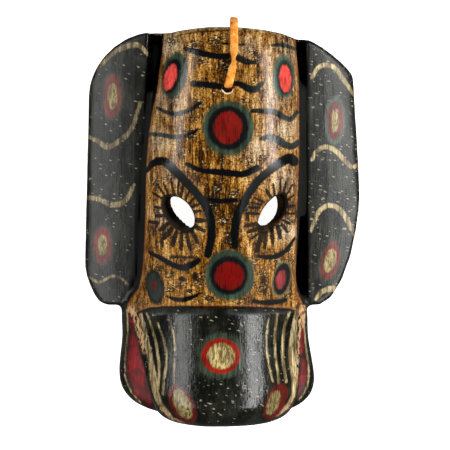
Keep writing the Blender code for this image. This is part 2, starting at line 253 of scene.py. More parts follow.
def under_the_sky(points, facing):
    """1 for points that nothing above them covers, 0 inside the hollow and below the ears."""
    up = Vector((0, 0, 1))
    starts = points + facing * SKY_START
    return np.array([0.0 if cad_tree.ray_cast(Vector(start), up)[0] else 1.0 for start in starts])


def waves(points, size, seed):
    """Smooth noise from about -1 to 1, in waves of this size."""
    shift = Vector((seed * 7.3, seed * 3.1, seed * 5.7))
    return np.array([noise.noise(Vector(point) / size + shift) for point in points])


facing = normals(skin)
sky = under_the_sky(points, facing)
sky = neighbour_mean(neighbour_mean(sky[:, None], edges), edges)[:, 0]
gouges = np.array([noise.voronoi(Vector(point) / GOUGE_SIZE)[0][0] for point in points])
lift = waves(points, SANDED_WAVE[0], 1) * SANDED_WAVE[1]
lift += waves(points, SANDED_RIPPLE[0], 2) * SANDED_RIPPLE[1]
lift *= sanded[:, 0] * sky
gouging = (gouges - GOUGE_MIDDLE) * GOUGE_DEPTH * (1 - sky)
lift += gouging * sanded[:, 0] * smooth_step(*GOUGED_ABOVE, points[:, 2])
move_points(skin, points + facing * lift[:, None])
points = coordinates(skin)
facing = normals(skin)

# ---- painted marks, set out in millimetres on the mask
# Each mark is a line of brush points, with widths that are spread evenly from start to end.
MARKS_ZERO = (0.0, -0.4)  # where the marks are measured from, in millimetres in the frame


def brush_line(*line, steps=10):
    """A smooth line through the given points."""
    line = np.array(line, float)
    ends = np.vstack((2 * line[0] - line[1], line, 2 * line[-1] - line[-2]))
    t = np.linspace(0, 1, steps, endpoint=False)[:, None]
    parts = []
    for a, b, c, d in zip(ends, ends[1:], ends[2:], ends[3:]):
        parts.append(
            b
            + (c - a) * 0.5 * t
            + (a * 2 - b * 5 + c * 4 - d) * 0.5 * t**2
            + (b * 3 - a - c * 3 + d) * 0.5 * t**3
        )
    return np.vstack((*parts, line[-1:]))


def widths_along(line, widths):
    """The brush's width at each point of a line."""
    run = np.concatenate(((0,), np.cumsum(np.hypot(*np.diff(line, axis=0).T))))
    return np.interp(run / run[-1], np.linspace(0, 1, len(widths)), widths)


def mark_field(flat, marks, reach=6.0):
    """Distance in mm from each point to the nearest mark's edge, negative inside a mark."""
    field = np.full(len(flat), reach)
    for widths, line in marks:
        line = brush_line(*line)
        half = widths_along(line, widths) / 2
        low = line.min(0) - reach - half.max()
        high = line.max(0) + reach + half.max()
        near = np.where(((flat > low) & (flat < high)).all(1))[0]
        best = np.full(len(near), reach)
        for a, b, half_a, half_b in zip(line, line[1:], half, half[1:]):
            along = b - a
            share = np.clip(((flat[near] - a) @ along) / (along @ along + 1e-9), 0, 1)
            gap = np.hypot(*(flat[near] - a - share[:, None] * along).T)
            best = np.minimum(best, gap - half_a - (half_b - half_a) * share)
        field[near] = np.minimum(field[near], best)
    return field


def outline_field(flat, outline, reach=8.0):
    """Distance in mm to a closed outline, positive inside it."""
    outline = np.array(outline, float)
    inside = np.zeros(len(flat), bool)
    best = np.full(len(flat), reach)
    for a, b in zip(outline, np.roll(outline, -1, axis=0)):
        along = b - a
        share = np.clip(((flat - a) @ along) / (along @ along + 1e-9), 0, 1)
        best = np.minimum(best, np.hypot(*(flat - a - share[:, None] * along).T))
        crosses = (a[1] > flat[:, 1]) != (b[1] > flat[:, 1])
        with np.errstate(divide="ignore", invalid="ignore"):
            at = a[0] + (flat[:, 1] - a[1]) * along[0] / along[1]
        inside ^= crosses & (flat[:, 0] < at)
    return np.where(inside, best, -best)


def keep(name, values):
    """Stores a value for each point of the skin, for the finish to read."""
    skin.attributes.new(name, "FLOAT", "POINT").data.foreach_set("value", values)


flat = points[:, :2] / mm - MARKS_ZERO


def distance_to(centre):
    """Distance in mm from each point of the skin to a place on the mask."""
    return np.hypot(*(flat - centre).T)


def patch(centre, reach):
    """A soft round patch, 1 in its middle."""
    return np.exp(-((flat - centre) ** 2).sum(1) / reach**2)


LEFT_FACE_EDGE = (
    (-43.5, 150), (-44.2, 136.5), (-45, 125), (-46.6, 113.6), (-47.2, 106), (-48.2, 97.3),
    (-49.6, 91), (-51.8, 82.2), (-53, 74.7), (-54.4, 65.9), (-55.4, 57), (-56.2, 46.9),
    (-56.8, 30), (-57.2, 5), (-58, -20), (-59.5, -38), (-61.2, -46), (-62.6, -51.5), (-66, -55),
    (-68.7, -59.2), (-70.6, -63.5),
)
RIGHT_FACE_EDGE = (
    (56.5, 150), (55.3, 136.5), (56.3, 124), (57, 111.3), (57.4, 98.5), (57.5, 83), (57.8, 63.6),
    (57.6, 47.6), (56.4, 20), (55.6, -14.6), (55.2, -31.7), (55.3, -44.4), (55.9, -52.6),
    (60.0, -61.5),
)
MUZZLE_STEP = (
    (60, -69), (50.5, -65), (28, -63.2), (0, -62.6), (-23.5, -62.4), (-42, -62.9), (-53, -63.8),
    (-61.5, -67),
)
face_outline = (
    *LEFT_FACE_EDGE, (-70.5, -72), (-66.5, -78), (-65, -70),
    *reversed(MUZZLE_STEP), (62, -76), (62, -66), *reversed(RIGHT_FACE_EDGE),
)
keep("ochre_face", outline_field(flat, face_outline))

LEFT_JOWL = (
    (-70.5, -68), (-69.5, -82), (-71.3, -97), (-72.2, -112), (-71.3, -119.5), (-67, -128.8),
    (-60, -136.5), (-48.7, -146), (-51.3, -135), (-54, -122), (-56.8, -108.5), (-60.7, -96),
    (-64.7, -82), (-66, -70),
)
RIGHT_JOWL = (
    (61.5, -72), (61.6, -90), (64, -108.7), (64, -119.6), (61.2, -128.2), (56.5, -134.5),
    (53, -143), (54, -139.7), (56.7, -128.5), (57.8, -118), (57.7, -99.5), (58.2, -82),
    (60, -72),
)
red_jowls = np.maximum(outline_field(flat, LEFT_JOWL), outline_field(flat, RIGHT_JOWL))
keep("red_jowls", red_jowls)

BLACK_MARKS = (
    # along the foot of the step onto the muzzle
    ((1.3, 1.6, 1.6, 1.6, 1.3), [(x, y - 1.1) for x, y in MUZZLE_STEP[1:-1]]),
    # the line under the rubbed edge of the crown
    ((0.5, 1.0, 0.9, 0.5), ((-38, 136.8), (-24, 139.2), (-8, 140.4), (10, 140.6), (22, 139.6))),
    # waves over the forehead
    ((3.1, 4.8, 5.0, 4.5), ((-27.5, 127.5), (-14, 123.2), (-4, 121.2), (4.5, 121.2))),
    ((4.4, 5.0, 4.6, 3.0), ((8, 123.5), (12, 120.2), (18, 117.2), (25, 116.6))),
    ((4.5, 5.0, 4.8), ((-21.5, 100.8), (-12.5, 100), (1.5, 97.8))),
    ((3.6, 4.6, 5.6, 5.2, 3.1), ((7, 100.5), (13, 100.3), (19, 97.2), (24.5, 96.6), (29.5, 101.2))),
    ((1.4, 2.0, 1.4), ((-1, 130.8), (6, 130.5))),
    ((1.4, 2.0, 1.4), ((10.4, 129.8), (17.8, 130))),
    ((2.2, 3.6, 2.8), ((37, 130), (46, 130.5), (54, 129))),
    ((2.2, 3.9, 2.8), ((-48.4, 84), (-41.5, 80.5), (-34, 78.7), (-23.5, 81.4), (-16, 86.4))),
    ((3.1, 4.8, 3.1), ((22, 80.5), (29.5, 80.6), (38.5, 80), (46.7, 76), (51.3, 75.5), (56, 81))),
    ((2.8, 3.9, 2.2), ((-54, 64.8), (-44.5, 63.4), (-34, 61.6), (-23.5, 63.7), (-18, 67))),
    (
        (3.1, 6.4, 3.9),
        ((28.7, 60.2), (35.4, 61.6), (41.4, 59.5), (47.4, 56), (52.8, 55.5), (57.5, 59)),
    ),
    # between the brows
    ((3.2, 5.0, 5.0), ((-26, 41.7), (-16, 37.2), (-4.4, 35.8), (6, 35), (16.2, 34.3), (25.8, 38.7))),
    ((2.8, 4.2, 3.4), ((-11, 16), (-1.4, 14.5), (10.4, 15.2))),
    # the brows, down both sides of the nose
    (
        (3.6, 6.4, 6.6, 6.2, 6.4, 6.4, 6.6, 6.2, 6.2, 5.6),
        (
            (-56, 37.6), (-51, 42.6), (-44.3, 44), (-38.3, 40.3), (-28.7, 30.7), (-19, 20.4),
            (-12, 10.8), (-8.2, 0.5), (-7.8, -12), (-10.4, -25),
        ),
    ),
    (
        (8.0, 7.4, 6.2, 6.2, 6.2, 6.4, 6.4, 6.2, 4.6),
        (
            (53.5, 44.5), (50.4, 46), (43.6, 43.3), (34, 36), (26.6, 29.2), (18.8, 18.4),
            (12.8, 7), (9.6, -4), (9.3, -19),
        ),
    ),
    # a row of small stitches over the left cheek
    ((1.4, 1.6, 1.4), [(-37.5 + 1.45 * i, -27.2 + (i % 2) * 1.3 - 0.04 * i) for i in range(15)]),
    # under the eyes and across the cheeks
    (
        (2.4, 3.6, 4.0, 4.2, 5.2, 4.4),
        (
            (-53.8, -23.6), (-44.9, -27.8), (-36.6, -32.4), (-28.4, -34.5), (-22.5, -32.6),
            (-17.8, -29.5),
        ),
    ),
    ((2.4, 3.6, 3.9, 3.4, 2.0), ((26.3, -26), (34, -27), (40.8, -26), (47.8, -21.7), (54.2, -13))),
    ((1.8, 3.6, 3.8, 1.6), ((-40.4, -55.6), (-33.7, -57.8), (-25.6, -57.5), (-15.3, -53.1))),
    ((2.4, 3.8, 4.0, 2.8), ((22.8, -59), (31, -60.2), (40, -60), (47.5, -58.6))),
)

EYES = {"left": (-32.5, 6.5), "right": (37.0, 5.5)}


def lashes(centre, dabs):
    """Dabs that stand out round an eye: angle and distance of both ends, and the width."""
    return [
        (
            (width, width * 1.2, width * 0.9),
            [
                (
                    centre[0] + math.cos(math.radians(angle)) * reach,
                    centre[1] + math.sin(math.radians(angle)) * reach,
                )
                for angle, reach in ((from_angle, start - 1.0), (to_angle, end))
            ],
        )
        for from_angle, start, to_angle, end, width in dabs
    ]


LEFT_LASHES = (
    (210, 18, 198, 23, 2.4), (197, 10, 190, 17, 2.4), (164, 11, 168, 17, 2.2),
    (140, 15, 143, 24, 1.9), (130, 16, 127, 26, 1.6), (120, 14, 117, 24, 1.6),
    (103, 14, 102, 25, 1.8), (91, 14, 89, 22, 1.6), (80, 13, 78, 21, 2.2), (59, 12, 61, 18, 1.8),
    (38, 12, 41, 20, 1.8), (20, 12, 20, 18, 2.0), (357, 11, 363, 17, 2.2), (332, 14, 343, 22, 3.4),
    (318, 16, 324, 24, 3.2), (307, 17, 303, 27, 2.9), (292, 18, 288, 29, 2.9),
    (279, 17, 275, 28, 2.9), (265, 16, 261, 25, 3.2), (248, 15, 242, 22, 3.6),
    (229, 13, 225, 19, 3.4),
)
RIGHT_LASHES = (
    (157, 11, 166, 19, 1.7), (183, 11, 180, 19, 1.9), (219, 13, 205, 22, 2.8),
    (230, 15, 218, 23, 2.6), (240, 17, 230, 25, 1.6), (243, 18, 248, 30, 3.6),
    (253, 16, 258, 26, 2.9), (270, 13, 271, 22, 2.9), (295, 12, 289, 19, 3.2),
    (313, 12, 310, 18, 2.4), (329, 11, 330, 16, 2.2), (0, 11, -1, 17, 2.0), (22, 12, 19, 18, 2.0),
    (41, 14, 39, 21, 1.8), (51, 17, 54, 27, 1.5), (59, 17, 66, 26, 1.8), (68, 17, 76, 26, 1.6),
    (80, 14, 88, 22, 1.8), (95, 13, 104, 18, 2.4), (125, 11, 139, 17, 1.8),
    (142, 11, 153, 18, 1.6),
)
all_lashes = lashes(EYES["left"], LEFT_LASHES) + lashes(EYES["right"], RIGHT_LASHES)
keep("black_marks", mark_field(flat, BLACK_MARKS))
keep("lash_marks", mark_field(flat, all_lashes))

TAN_MARKS = (
    # the rubbed front edge of the crown
    (
        (0.9, 1.4, 1.6, 1.4, 0.9),
        ((-42, 138.6), (-28, 141.2), (-12, 143.0), (8, 143.4), (30, 141.4), (46, 137.8)),
    ),
    # waves on the left ear
    ((1.6, 3.4, 4.2, 2.4), ((-95, 114), (-83, 126), (-72.3, 131), (-63.2, 132), (-55.6, 125))),
    (
        (2.6, 3.8, 3.4, 2.4),
        (
            (-102, 64), (-93.8, 60.3), (-86.8, 55.7), (-78.4, 59.4), (-69.2, 67.5),
            (-64.7, 78), (-61.6, 88.5),
        ),
    ),
    (
        (3.4, 3.8, 4.2, 2.2),
        ((-103, 17.5), (-93.8, 16.5), (-84.5, 12.7), (-76.8, 12.6), (-70.7, 18), (-66.2, 27)),
    ),
    (
        (1.4, 2.2, 1.8, 1.4),
        ((-101, -42.6), (-93.7, -46.3), (-87.5, -44), (-82, -41.6), (-75.3, -43.8), (-70.7, -48)),
    ),
    # waves on the right ear
    (
        (2.4, 3.6, 3.4, 2.6),
        (
            (67.7, 107.4), (72.2, 115), (78.4, 117.4), (85.3, 115.3), (89.9, 109.4), (95.3, 102),
            (101, 94.4),
        ),
    ),
    (
        (2.4, 3.6, 3.4, 3.0),
        ((67.7, 45.7), (71.5, 52.5), (78.3, 55.6), (86, 52.6), (93, 45.2), (98.4, 40.7), (104, 43)),
    ),
    (
        (2.2, 3.4, 3.8, 3.2),
        ((66.9, -7.7), (72.2, 5.8), (78.3, 11), (84.5, 11), (90.6, 6.6), (95.3, -1), (100.5, -11)),
    ),
    ((2.4, 4.0, 5.0), ((70.7, -58.9), (75.3, -53.6), (81.4, -51.4), (88, -51.4))),
    # folds down the sides of the muzzle
    (
        (1.2, 1.8, 2.0, 1.4),
        (
            (-55.7, -68.4), (-52.4, -77), (-48.8, -89), (-46.6, -102), (-45.8, -109.5),
            (-46.6, -123),
        ),
    ),
    (
        (1.0, 1.6, 2.0, 1.4),
        (
            (-47.3, -75.5), (-43.6, -85), (-40.6, -97), (-41, -106), (-42.2, -116),
            (-43.2, -127),
        ),
    ),
    (
        (0.8, 1.2, 1.2, 0.8),
        ((-39.2, -70.5), (-37, -78), (-34.8, -86), (-34.1, -99), (-34.8, -109.5), (-34.8, -120)),
    ),
    ((1.0, 1.3, 1.4), ((34.3, -72.5), (33.1, -81), (32.7, -92.8), (34.3, -104.3), (37, -117.5))),
    (
        (1.2, 1.7, 1.8),
        ((40.9, -68.9), (39.3, -81), (38.9, -90.5), (39.3, -101), (41.2, -112), (41.6, -119)),
    ),
    (
        (1.6, 2.2, 2.0),
        ((50, -68), (46.6, -77.5), (45.1, -87.5), (44.7, -98), (45.8, -108), (47.2, -118.5)),
    ),
    # the rubbed edges of the muzzle
    (
        (2.4, 3.0, 4.4, 5.4, 4.6, 3.4),
        (
            (-60.2, -69.8), (-56.9, -82.5), (-53.9, -96.5), (-51, -111), (-48.8, -124),
            (-45.8, -133), (-38.5, -142.5),
        ),
    ),
    (
        (2.6, 4.8, 6.4, 4.6, 3.4, 2.6),
        (
            (55.6, -68), (54, -77.5), (52.4, -93), (52.4, -104), (53, -116), (53, -124),
            (51.6, -131.5), (44.3, -140.6),
        ),
    ),
    # the thin line inside the border of the jowls
    (
        (1.0, 1.0, 1.2),
        (
            (-70.9, -66.6), (-70.6, -82), (-72.2, -97), (-73, -112.4), (-72.1, -120),
            (-67.8, -129.4), (-61, -137),
        ),
    ),
    (
        (1.0, 1.2, 1.2),
        ((61.0, -70.5), (62.6, -90), (65, -108.7), (65, -120), (62, -129), (57.4, -135.3)),
    ),
)
keep("tan_marks", mark_field(flat, TAN_MARKS))

WORN_MARKS = (
    # where the red and the black have rubbed through to the wood
    ((6.0, 4.0, 5.0, 3.0), ((-67, -66), (-64, -72), (-62.6, -79.5), (-59.8, -87), (-57, -97))),
    ((2.4, 2.0, 1.8, 1.0), ((58.6, -68), (57.4, -90), (56.4, -105), (55.2, -123))),
    ((6.0, 3.0, 2.0), ((60, -66), (61, -72), (60.4, -79))),
    ((3.0, 2.6, 1.6), ((-44, -138), (-38, -144), (-28, -148))),
    ((1.6, 2.4, 1.8), ((52.5, -131), (48, -138), (40, -143.5))),
)
keep("worn_marks", mark_field(flat, WORN_MARKS))

# the lace hole: bare wood is chipped off its lower edge, and one chip lies below it
HOLE_MIDDLE = (4.2, 97.6)
HOLE_RADIUS = 4.2
HOLE_HALVES = (-1.2, 1.2)  # the chipped lower half gives way to the upper one between these
CHIP_MIDDLE = (2.9, 91.0)
CHIP_RADII = (0.7, 1.5)
hole_reach = distance_to(HOLE_MIDDLE)
upper_half = smooth_step(*HOLE_HALVES, flat[:, 1] - HOLE_MIDDLE[1])
hole_edge = np.abs(hole_reach - HOLE_RADIUS) + 6 * upper_half
chip = np.hypot(*((flat - CHIP_MIDDLE) / CHIP_RADII).T)
keep("chips", np.clip(np.minimum(hole_edge, chip), 0, 9))


def dot_field(flat, centre, radii, lean=0.0):
    """Distance in mm inside an oval, negative outside; lean tips its top to the right."""
    turn = math.radians(lean)
    x, y = (flat - centre).T
    across = (x * math.cos(turn) - y * math.sin(turn)) / radii[0]
    up = (x * math.sin(turn) + y * math.cos(turn)) / radii[1]
    size = np.hypot(across, up) + 1e-6
    slope = np.hypot(across / radii[0], up / radii[1]) / size
    return np.clip((1 - size) / slope, -8, 8)


def srgb(red, green, blue):
    """A paint named by its 0 to 255 values, as linear light."""
    parts = np.array((red, green, blue)) / 255
    linear = np.where(parts <= 0.04045, parts / 12.92, ((parts + 0.055) / 1.055) ** 2.4)
    return (*linear, 1.0)


BRIGHT_RED = srgb(102, 4, 3)
DEEP_RED = srgb(106, 14, 9)
PINK_RED = srgb(222, 74, 66)
ORANGE_RED = srgb(130, 26, 14)
ROSE = srgb(132, 46, 46)
DULL_RED = srgb(98, 44, 38)
DARK_RED = srgb(84, 24, 18)
CREAM = srgb(168, 148, 96)
OLIVE = srgb(138, 122, 78)
SOOT = srgb(10, 12, 12)
UMBER = srgb(26, 14, 8)
TEAL = srgb(40, 52, 40)
DARK_TEAL = srgb(36, 44, 38)
PALE_TEAL = srgb(70, 84, 72)

# part, middle, radii, lean and paint of each oval, from the forehead down to the nostrils
OVALS = (
    ("core", (4.4, 68.2), (10.2, 12.0), 0, DEEP_RED),
    ("ring", (4.5, 68.0), (15.2, 16.2), 0, SOOT),
    ("rim", (4.9, 68.0), (19.2, 20.2), 0, TEAL),
    ("core", (-38.4, 106.4), (4.5, 10.2), 16, PINK_RED),
    ("ring", (-37.0, 107.4), (7.0, 13.2), 12, SOOT),
    ("rim", (-35.2, 107.9), (9.6, 17.4), 10, TEAL),
    ("core", (46.9, 105.3), (4.3, 10.2), -2, PINK_RED),
    ("ring", (46.5, 106.2), (6.3, 13.4), 0, DARK_TEAL),
    ("rim", (45.7, 107.0), (8.4, 16.4), 0, PALE_TEAL),
    ("core", (5.4, -40.6), (10.5, 10.2), 0, BRIGHT_RED),
    ("ring", (5.1, -40.2), (14.0, 14.3), 0, SOOT),
    ("rim", (5.6, -40.1), (18.3, 18.7), 0, TEAL),
    ("core", (-0.6, -98.4), (9.9, 9.3), 0, CREAM),
    ("ring", (-0.8, -98.4), (14.1, 12.6), 0, ORANGE_RED),
    ("rim", (-0.9, -98.4), (18.2, 16.6), 0, TEAL),
    ("core", (-50.2, -47.7), (2.0, 3.8), -8, DARK_RED),
    ("ring", (-49.6, -48.9), (5.0, 10.4), -10, DARK_TEAL),
    ("rim", (-49.5, -48.9), (6.9, 12.9), -10, SOOT),
    ("core", (43.6, -43.4), (3.6, 7.2), 15, ROSE),
    ("ring", (44.3, -43.0), (6.5, 12.4), 12, SOOT),
    ("rim", (44.3, -43.0), (7.3, 13.3), 12, OLIVE),
    ("core", (-28.6, -133.6), (5.8, 11.8), -24, OLIVE),
    ("ring", (-28.7, -134.2), (8.8, 15.6), -25, DARK_RED),
    ("core", (37.6, -133.2), (4.2, 9.6), 20, OLIVE),
    ("ring", (39.2, -132.9), (7.4, 14.3), 24, DARK_RED),
    # three small spots on the left cheek
    ("core", (-29.4, -43.0), (2.9, 2.0), 0.5, UMBER),
    ("core", (-19.9, -40.9), (2.3, 3.3), 0.4, UMBER),
    ("core", (-30.2, -49.4), (1.2, 1.0), 0, UMBER),
    # on the ears
    ("core", (-82.5, 93.9), (3.8, 10.0), 2, OLIVE),
    ("ring", (-82.8, 93.8), (7.2, 16.8), 2, DULL_RED),
    ("rim", (-82.8, 93.8), (9.2, 19.2), 2, DARK_TEAL),
    ("core", (-90.3, -18.6), (3.8, 7.8), 0, OLIVE),
    ("ring", (-90.3, -18.9), (7.2, 14.4), 0, DULL_RED),
    ("rim", (-90.3, -18.9), (9.0, 16.8), 0, DARK_TEAL),
    ("core", (85.3, 75.9), (2.7, 9.2), 2, CREAM),
    ("ring", (85.3, 75.7), (6.4, 14.8), 2, DULL_RED),
    ("rim", (85.3, 75.7), (8.2, 18.2), 2, PALE_TEAL),
    ("core", (81.5, -30.0), (4.3, 8.8), 14, CREAM),
    ("ring", (81.5, -30.2), (7.3, 14.8), 14, DULL_RED),
    ("rim", (81.6, -30.2), (9.2, 19.4), 14, DARK_TEAL),
)
OVAL_REACH = 6.0  # how far outside an oval its distance is worked out
fields = {part: np.full(len(flat), -8.0) for part in ("core", "ring", "rim")}
colours = {part: np.zeros((len(flat), 4)) for part in fields}
for part, centre, radii, lean, paint in OVALS:
    near = distance_to(centre) < max(radii) + OVAL_REACH
    fields[part][near] = np.maximum(
        fields[part][near], dot_field(flat[near], centre, radii, lean)
    )
    colours[part][near] = paint
for part in fields:
    keep(f"dot_{part}", fields[part])
    layer = skin.attributes.new(f"dot_{part}_colour", "FLOAT_COLOR", "POINT")
    layer.data.foreach_set("color", colours[part].ravel())

# ---- where the wood is bare, worn or scuffed
# middle and reach of each scuffed place
SCUFFS = (
    ((-60, -72), 8), ((-57, -82), 8), ((-54, -92), 7), ((60, -78), 8), ((58, -92), 7),
    ((-52, -104), 6),
    ((-38, 134), 9), ((-46, -36), 6), ((-24, -52), 6), ((-12, -56), 5), ((-38, -50), 6),
    ((30, -38), 6), ((48, -54), 6), ((22, -46), 5), ((8, 20), 5), ((52, 0), 6), ((-47, 8), 5),
    ((-50, 28), 5), ((50, -22), 6),
    ((-17.6, 86), 7), ((-20.6, 75.6), 6), ((-22.8, 63.8), 8), ((-30.2, 49), 5), ((-14, 98), 5),
    ((13.3, 44.6), 5), ((20.7, 43), 6), ((29.5, 46), 6), ((-5, 133), 11), ((-20, 129), 9),
    ((3, 112), 8), ((17, 88), 5), ((-38, -30), 5), ((-30.9, -46), 5), ((-18.4, -45.5), 5),
    ((-5, 11), 6), ((4.5, -14), 7), ((42, -31), 5), ((29.5, -51), 6), ((-14, 118), 7),
    ((24, 124), 8), ((-9, 60), 5), ((18, 10), 5), ((-3, 24), 6), ((1, 0), 6), ((-38, -40), 5),
    ((14, -60), 6), ((-8, -58), 5), ((52, -30), 6), ((24, -30), 5), ((-34, 92), 5),
    ((-8, -71), 9), ((4, -73), 8), ((14, -75), 8), ((-14, -74), 6), ((24, -92), 8),
    ((-12, -122), 9), ((0, -124), 9), ((12, -123), 9), ((24, -120), 9), ((-10, -134), 9),
    ((3, -136), 9), ((14, -134), 9), ((-22, -118), 6),
)
# darker (below 0) and paler (above 0) places in the ochre; the paler ones high on the left of the
# forehead and down its right side lie on the lamps' streaks and are painted highlight
TONE_AND_HIGHLIGHT_SPOTS = (
    ((-38, 134), 9, 0.030), ((-20, 92), 6, 0.035), ((25, 58), 8, 0.030), ((-24, 62), 7, 0.025),
    ((-30, -15), 9, 0.030), ((38, -14), 9, 0.030), ((44, 20), 9, 0.025), ((-42, 20), 8, 0.020),
    ((1, 110), 13, -0.065), ((-19, 106), 8, 0.030), ((-13, 78), 12, -0.030), ((-7, 42), 18, -0.050),
    ((0, 12), 18, -0.045), ((2, -12), 12, -0.030), ((18, -54), 12, -0.020), ((38, -56), 9, -0.025),
    ((-42, 136), 12, 0.040), ((-26, 116), 10, 0.035), ((-50, 60), 10, 0.015), ((30, 60), 22, 0.030),
    ((-44, 52), 12, 0.030), ((36, 36), 14, 0.030), ((24, 132), 14, 0.020),
    ((-44, -30), 12, 0.010), ((50, -16), 8, 0.020),
)
# where the ochre goes to beige: faded paint, and painted highlight where the lamps' streaks cross
# the flanks of the forehead
FADED_AND_SHEEN_SPOTS = (
    ((-42, 92), 14), ((-48, 60), 11), ((-40, 128), 11), ((-36, 34), 8), ((40, 92), 14),
    ((46, 68), 13), ((50, 126), 12), ((26, 52), 12), ((46, 30), 12), ((48, -8), 9), ((-44, 4), 8),
    ((20, 128), 8), ((-57, -74), 9), ((-54, -88), 8), ((57, -76), 9), ((55, -90), 8),
)
faded_and_sheen = np.zeros(len(flat))
for centre, reach in FADED_AND_SHEEN_SPOTS:
    faded_and_sheen = np.maximum(faded_and_sheen, patch(centre, reach))
keep("faded_and_sheen", faded_and_sheen)
# above the brows the black marks go grey in those places: thin ink and painted highlight
keep("thin_ink_and_sheen", faded_and_sheen * smooth_step(44, 54, flat[:, 1]))
# the walls of the eye holes are dark raw wood under painted shade, and the inside of the lace hole
# is painted shade, apart from a place in the right eye hole that the light reaches
EYE_REACH = 19
LIT_WALL = ((39, -4), 7)
in_eye = np.zeros(len(flat))
for centre in EYES.values():
    in_eye[distance_to(centre) < EYE_REACH] = 1.0
lit_wall = 0.8 * patch(*LIT_WALL)
# painted shade on the steep upper walls of the eye holes, less where the light reaches
eye_wall_shade = in_eye * (1 - smooth_step(0.55, 0.82, facing[:, 2])) * (1 - lit_wall)
eye_wall_shade *= smooth_step(48, 54, points[:, 2] / mm)
keep("wall_shade", np.maximum(eye_wall_shade, 1 - smooth_step(3.3, 4.0, hole_reach)))
keep("under_sky", sky)
bulge = ((points - neighbour_mean(points, edges)) * facing).sum(1) / mm
for turn in range(2):
    bulge = neighbour_mean(bulge[:, None], edges)[:, 0]
EDGE_WEAR = 0.74
keep("bulge", bulge * (1 - 0.85 * in_eye) * EDGE_WEAR)
# where the varnish is thin: the ears, the steep cheeks, the jowls, the step and the groove lips
on_ear = smooth_step(57, 61, np.abs(flat[:, 0] - 1)) * smooth_step(-63, -60, flat[:, 1])
cheeks = smooth_step(-70, -66, flat[:, 1]) * (1 - smooth_step(28, 46, flat[:, 1]))
cheeks *= (1 - on_ear) * smooth_step(0.10, 0.24, np.abs(facing[:, 0]))
jowls = smooth_step(-2.0, 1.0, red_jowls)
step_band = (*MUZZLE_STEP, (-61.5, -68), (-42, -63.8), (0, -63.5), (28, -64.1), (60, -70))
step = smooth_step(-1.5, 0.5, outline_field(flat, step_band))
lips = smooth_step(51, 54, np.abs(flat[:, 0])) * (1 - smooth_step(65, 68, np.abs(flat[:, 0])))
lips *= smooth_step(-62, -58, flat[:, 1]) * (1 - smooth_step(116, 128, flat[:, 1]))
keep("matt", np.maximum.reduce((on_ear, 3.6 * cheeks, 1.8 * jowls, 0.9 * step, 3.6 * lips)))
on_muzzle = 1 - smooth_step(-66, -62, flat[:, 1])
# the lip of each groove: the left one leans outwards towards the muzzle
lip = np.where(flat[:, 0] > 0, 64.5, 54 + 0.085 * (135 - flat[:, 1]))
past_lip = smooth_step(-0.5, 1.0, np.abs(flat[:, 0]) - lip)
# painted shade: the grooves between face and ears are marked for extra darkening, for the shade deep
# in them
keep("groove", (1 - past_lip) * smooth_step(-62, -58, flat[:, 1]))
speckled = np.where(flat[:, 0] > 0, 1.7, 0.8) * on_ear * past_lip
on_left = (1 - smooth_step(-62, -58, flat[:, 0])) * on_ear
keep("tan_share", 0.85 - 0.30 * on_left)
keep("speckled", speckled + 0.5 * on_muzzle)
scuffed = np.zeros(len(flat))
for centre, reach in SCUFFS:
    scuffed = np.maximum(scuffed, 1 - smooth_step(0, reach, distance_to(centre)))
keep("scuffed", scuffed)
tone_and_highlight = np.zeros(len(flat))
for centre, reach, amount in TONE_AND_HIGHLIGHT_SPOTS:
    tone_and_highlight += amount * patch(centre, reach)
keep("tone_and_highlight", tone_and_highlight)

# ---- the finish: ochre and black paint rubbed back to the grain, under a gloss varnish
varnished = bpy.data.materials.new("varnished_paint")
varnished.use_nodes = True
nodes = varnished.node_tree.nodes
links = varnished.node_tree.links


def put(kind, inputs=(), **settings):
    """Adds a node; inputs are (socket, value or linked socket) pairs."""
    node = nodes.new(kind)
    for name, value in settings.items():
        setattr(node, name, value)
    for socket, value in inputs:
        if isinstance(value, bpy.types.NodeSocket):
            links.new(value, node.inputs[socket])
        else:
            node.inputs[socket].default_value = value
    return node


def maths(operation, a, b=0.0, c=0.0):
    return put("ShaderNodeMath", ((0, a), (1, b), (2, c)), operation=operation).outputs[0]


def times(a, b):
    return maths("MULTIPLY", a, b)


def soft_edge(value, low, high):
    """0 below low, 1 above high, and eased between."""
    inputs = (("Value", value), ("From Min", low), ("From Max", high))
    return put("ShaderNodeMapRange", inputs, interpolation_type="SMOOTHSTEP").outputs[0]


def blend(share, under, over, how="MIX"):
    inputs = ((0, share), (6, under), (7, over))
    return put("ShaderNodeMix", inputs, data_type="RGBA", blend_type=how).outputs[2]


def kept(name, output="Fac"):
    return put("ShaderNodeAttribute", attribute_name=name).outputs[output]


place = put("ShaderNodeTexCoord").outputs["Object"]


def stretched(scale):
    return put("ShaderNodeMapping", (("Vector", place), ("Scale", scale))).outputs[0]


def cloud(scale, detail=3.0, roughness=0.55, distortion=0.0):
    inputs = (
        ("Vector", stretched(scale)),
        ("Scale", 1.0),
        ("Detail", detail),
        ("Roughness", roughness),
        ("Distortion", distortion),
    )
    return put("ShaderNodeTexNoise", inputs).outputs["Fac"]


def per(across, along):
    """A texture scale for spots this many mm across the grain and along it."""
    return (1000 / across, 1000 / along, 1000 / math.sqrt(across * along))


def tones(value, *stops):
    """A colour ramp; each stop is its place and its colour.

    All places are set first, because a ramp puts its stops in order as they move.
    """
    node = put("ShaderNodeValToRGB", (("Fac", value),))
    ramp = node.color_ramp
    while len(ramp.elements) < len(stops):
        ramp.elements.new(0.5)
    for element, (at, colour) in zip(ramp.elements, stops):
        element.position = at
    for element, (at, colour) in zip(ramp.elements, stops):
        element.color = colour
    return node.outputs[0]


